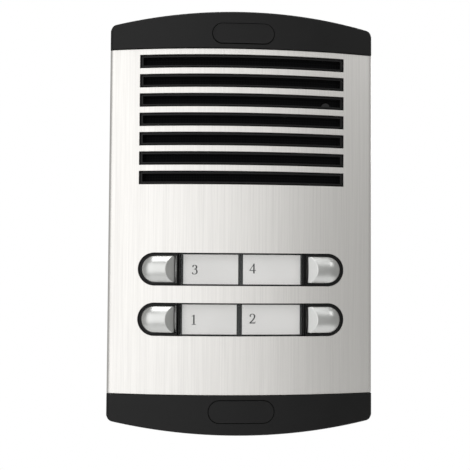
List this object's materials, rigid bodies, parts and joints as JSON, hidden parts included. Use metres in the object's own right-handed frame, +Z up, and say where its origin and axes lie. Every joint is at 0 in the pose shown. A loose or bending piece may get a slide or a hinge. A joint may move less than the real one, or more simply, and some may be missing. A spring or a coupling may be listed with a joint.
{
  "type": "door intercom panel",
  "caption": "Outdoor door intercom station: curved brushed aluminium face, black end caps, slotted speaker grille, lit name cards and domed push buttons, on a hinged wall box.",
  "frame": {"origin": "centre of the flat back of the rear housing, on the wall plane", "axes": "+Z up the wall, +X to the right seen from in front, and the face looks along -Y"},
  "size_m": [0.127, 0.0375, 0.2],
  "materials": {
    "brushed_aluminium": "fine vertical brushing, clear anodised",
    "black_plastic": "fine moulded grain, low sheen",
    "satin_chrome": "satin plated plastic",
    "clear_plastic": "polished clear acrylic",
    "card_paper": "white card printed with a plain numeral",
    "acoustic_cloth": "fine black woven mesh",
    "plated_steel": "zinc plated",
    "spring_steel": "bright drawn wire",
    "black_rubber": "matt moulded rubber",
    "foam": "closed cell foam",
    "speaker_cone": "coated paper",
    "ferrite": "sintered ferrite with a zinc back plate",
    "circuit_board": "green solder mask",
    "terminal_green": "moulded green nylon",
    "trimmer_blue": "moulded blue nylon",
    "lead_insulation": "soft PVC",
    "diffuser_plastic": "milky translucent acrylic"
  },
  "bodies": {
    "rear_box": {"rear_housing": "black_plastic", "wall_gasket": "black_rubber", "cable_grommet": "black_rubber", "hinge_rod": "plated_steel"},
    "front_panel": {"front_plate": "brushed_aluminium", "chassis": "black_plastic", "top_cap": "black_plastic", "bottom_cap": "black_plastic", "badge_plate": "black_plastic", "speaker_grille": "black_plastic", "button_frame_upper": "black_plastic", "button_frame_lower": "black_plastic", "acoustic_cloth": "acoustic_cloth", "name_window_upper": "clear_plastic", "name_window_lower": "clear_plastic", "name_card_1": "card_paper", "name_card_2": "card_paper", "name_card_3": "card_paper", "name_card_4": "card_paper", "light_guide_upper": "diffuser_plastic", "light_guide_lower": "diffuser_plastic", "lamp_upper": "diffuser_plastic", "lamp_lower": "diffuser_plastic", "lock_screw": "plated_steel", "speaker_basket": "plated_steel", "speaker_clamp": "plated_steel", "microphone_capsule": "plated_steel", "clamp_screw_left": "plated_steel", "clamp_screw_right": "plated_steel", "grille_screw": "plated_steel", "board_screw_1": "plated_steel", "board_screw_2": "plated_steel", "board_screw_3": "plated_steel", "board_screw_4": "plated_steel", "cap_screw_1": "plated_steel", "cap_screw_2": "plated_steel", "cap_screw_3": "plated_steel", "cap_screw_4": "plated_steel", "speaker_cone": "speaker_cone", "speaker_magnet": "ferrite", "speaker_gasket": "foam", "microphone_boot": "black_rubber", "circuit_board": "circuit_board", "terminal_block": "terminal_green", "volume_trimmer": "trimmer_blue", "speaker_lead": "lead_insulation", "switch_dome_1": "plated_steel", "return_spring_1": "spring_steel", "switch_dome_2": "plated_steel", "return_spring_2": "spring_steel", "switch_dome_3": "plated_steel", "return_spring_3": "spring_steel", "switch_dome_4": "plated_steel", "return_spring_4": "spring_steel"},
    "button_1": {"button_cap_1": "satin_chrome"},
    "button_2": {"button_cap_2": "satin_chrome"},
    "button_3": {"button_cap_3": "satin_chrome"},
    "button_4": {"button_cap_4": "satin_chrome"},
    "screw_cover": {"screw_cover": "black_plastic"}
  },
  "joints": [
    {"name": "front_tilt", "type": "hinge", "parent": "rear_box", "child": "front_panel", "pos_m": [0, -0.009, 0.088], "axis": [-1, 0, 0], "range_deg": [0, 25]},
    {"name": "call_button_1_press", "type": "slide", "parent": "front_panel", "child": "button_1", "axis": [0, 1, 0], "range_m": [0, 0.0018], "stiffness_N_per_m": 600, "springref_m": -0.0015, "deforming": ["return_spring_1"]},
    {"name": "call_button_2_press", "type": "slide", "parent": "front_panel", "child": "button_2", "axis": [0, 1, 0], "range_m": [0, 0.0018], "stiffness_N_per_m": 600, "springref_m": -0.0015, "deforming": ["return_spring_2"]},
    {"name": "call_button_3_press", "type": "slide", "parent": "front_panel", "child": "button_3", "axis": [0, 1, 0], "range_m": [0, 0.0018], "stiffness_N_per_m": 600, "springref_m": -0.0015, "deforming": ["return_spring_3"]},
    {"name": "call_button_4_press", "type": "slide", "parent": "front_panel", "child": "button_4", "axis": [0, 1, 0], "range_m": [0, 0.0018], "stiffness_N_per_m": 600, "springref_m": -0.0015, "deforming": ["return_spring_4"]},
    {"name": "screw_cover_pull", "type": "slide", "parent": "front_panel", "child": "screw_cover", "axis": [0, -1, 0], "range_m": [0, 0.012]}
  ]
}
